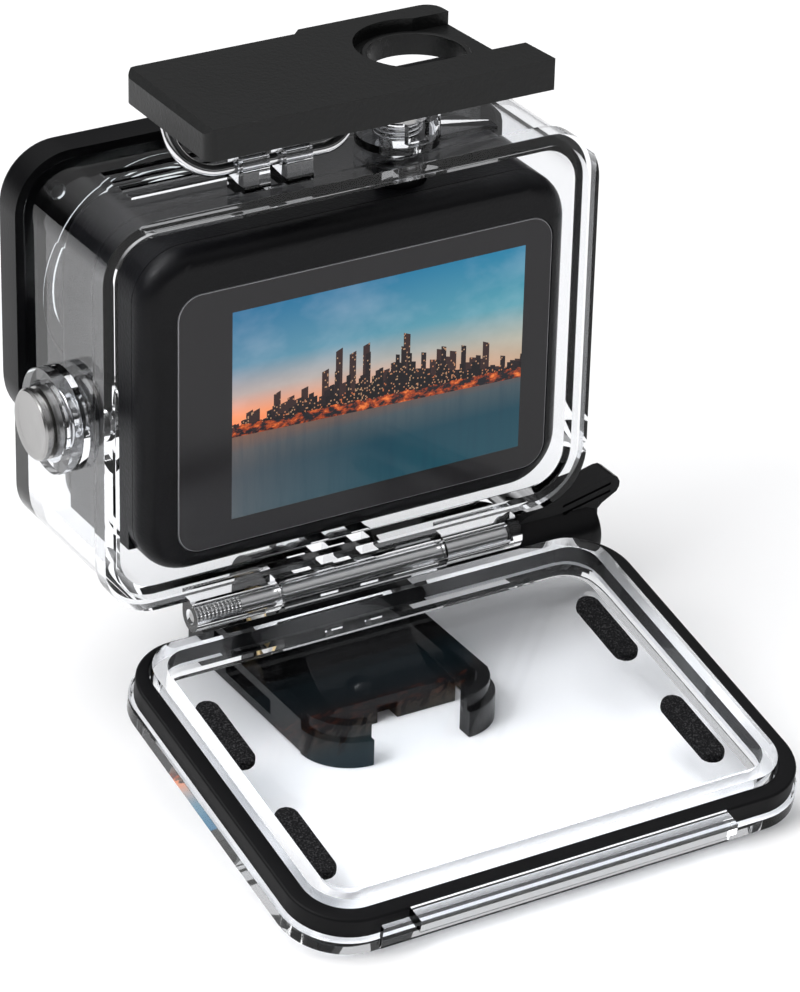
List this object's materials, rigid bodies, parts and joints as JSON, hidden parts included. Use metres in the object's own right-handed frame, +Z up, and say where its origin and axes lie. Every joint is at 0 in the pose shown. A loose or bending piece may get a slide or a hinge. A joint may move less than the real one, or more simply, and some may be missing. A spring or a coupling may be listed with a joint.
{
  "type": "action camera in a waterproof housing",
  "caption": "Compact action camera with a rear touchscreen inside a clear waterproof housing with an open hinged back door, a wire latch, press plungers and a quick-release buckle.",
  "frame": {"origin": "centre of the buckle's flat underside, on the table", "axes": "+Z up, +Y along the lens towards the subject, +X to the right as seen from behind, along the tilt axis towards the thumb knob"},
  "size_m": [0.0911, 0.099, 0.0938],
  "materials": {
    "clear_polycarbonate": "clear, polished",
    "window_glass": "polished",
    "black_nylon": "moulded, semi-gloss",
    "latch_black": "fine-textured",
    "camera_black": "fine-textured",
    "gloss_black": "polished",
    "screen_glass": "polished",
    "silicone": "smooth",
    "foam": "open-cell",
    "steel": "turned",
    "wire_steel": "bright drawn wire",
    "aluminium": "rolled",
    "brass": "machined",
    "circuit_board": "satin",
    "display": "satin",
    "battery_wrap": "satin"
  },
  "bodies": {
    "base": {"buckle_base": "black_nylon", "buckle_nut": "brass"},
    "thumb_screw": {"thumb_screw_shank": "steel", "thumb_knob": "black_nylon"},
    "housing": {"housing_shell": "clear_polycarbonate", "front_bezel": "latch_black", "port_seal": "silicone", "port_window": "window_glass", "port_retainer": "black_nylon", "port_screw_1": "steel", "port_screw_2": "steel", "port_screw_3": "steel", "port_screw_4": "steel", "hinge_pin": "steel", "shutter_spring": "wire_steel", "side_spring": "wire_steel"},
    "door": {"door_panel": "clear_polycarbonate", "door_gasket": "silicone", "foam_pad_1": "foam", "foam_pad_2": "foam", "foam_pad_3": "foam", "foam_pad_4": "foam"},
    "bail": {"latch_bail": "wire_steel"},
    "lever": {"latch_lever": "latch_black"},
    "shutter_plunger_body": {"shutter_plunger": "steel", "shutter_o_ring": "silicone", "shutter_clip": "steel"},
    "side_plunger_body": {"side_plunger": "steel", "side_o_ring": "silicone", "side_clip": "steel"},
    "camera": {"camera_shell": "camera_black", "rear_bezel": "camera_black", "touchscreen_glass": "screen_glass", "display_panel": "display", "heat_spreader": "aluminium", "main_board": "circuit_board", "battery": "battery_wrap", "battery_door": "camera_black", "memory_card": "battery_wrap", "speaker": "battery_wrap", "sensor_board": "circuit_board", "image_sensor": "gloss_black", "lens_barrel": "gloss_black", "lens_front_element": "window_glass", "lens_cover": "gloss_black", "shutter_dome": "steel", "mode_dome": "steel"},
    "shutter_button": {"camera_shutter_button": "camera_black"},
    "mode_button": {"camera_mode_button": "camera_black"}
  },
  "joints": [
    {"name": "thumb_screw_turn", "type": "hinge", "parent": "base", "child": "thumb_screw", "pos_m": [0, 0.008, 0.0113], "axis": [1, 0, 0], "continuous": true},
    {"name": "housing_tilt", "type": "hinge", "parent": "base", "child": "housing", "pos_m": [0, 0.008, 0.0113], "axis": [1, 0, 0], "range_deg": [-45, 0]},
    {"name": "door_hinge", "type": "hinge", "parent": "housing", "child": "door", "pos_m": [0, 0, 0.0186], "axis": [1, 0, 0], "range_deg": [-101.97, 0]},
    {"name": "bail_swing", "type": "hinge", "parent": "housing", "child": "bail", "pos_m": [0, 0.0045, 0.082], "axis": [1, 0, 0], "range_deg": [-54, 20]},
    {"name": "lever_tilt", "type": "hinge", "parent": "bail", "child": "lever", "pos_m": [0, 0.01058, 0.09068], "axis": [1, 0, 0], "range_deg": [-21, 55]},
    {"name": "shutter_press", "type": "slide", "parent": "housing", "child": "shutter_plunger_body", "axis": [0, 0, -1], "range_m": [0, 0.0008], "stiffness_N_per_m": 400, "springref_m": -0.0008, "deforming": ["shutter_spring"]},
    {"name": "side_press", "type": "slide", "parent": "housing", "child": "side_plunger_body", "axis": [1, 0, 0], "range_m": [0, 0.0008], "stiffness_N_per_m": 400, "springref_m": -0.0008, "deforming": ["side_spring"]},
    {"name": "camera_slide", "type": "slide", "parent": "housing", "child": "camera", "axis": [0, -1, 0], "range_m": [0, 0.06]},
    {"name": "shutter_button_press", "type": "slide", "parent": "camera", "child": "shutter_button", "axis": [0, 0, -1], "range_m": [0, 0.0006], "stiffness_N_per_m": 300, "springref_m": -0.0003, "deforming": ["shutter_dome"]},
    {"name": "mode_button_press", "type": "slide", "parent": "camera", "child": "mode_button", "axis": [1, 0, 0], "range_m": [0, 0.0006], "stiffness_N_per_m": 300, "springref_m": -0.0003, "deforming": ["mode_dome"]}
  ],
  "couplings": [
    {"joint": "lever_tilt", "follows": "bail_swing", "ratio": -1},
    {"joint": "shutter_button_press", "follows": "shutter_press", "ratio": 0.7},
    {"joint": "mode_button_press", "follows": "side_press", "ratio": 0.7}
  ]
}
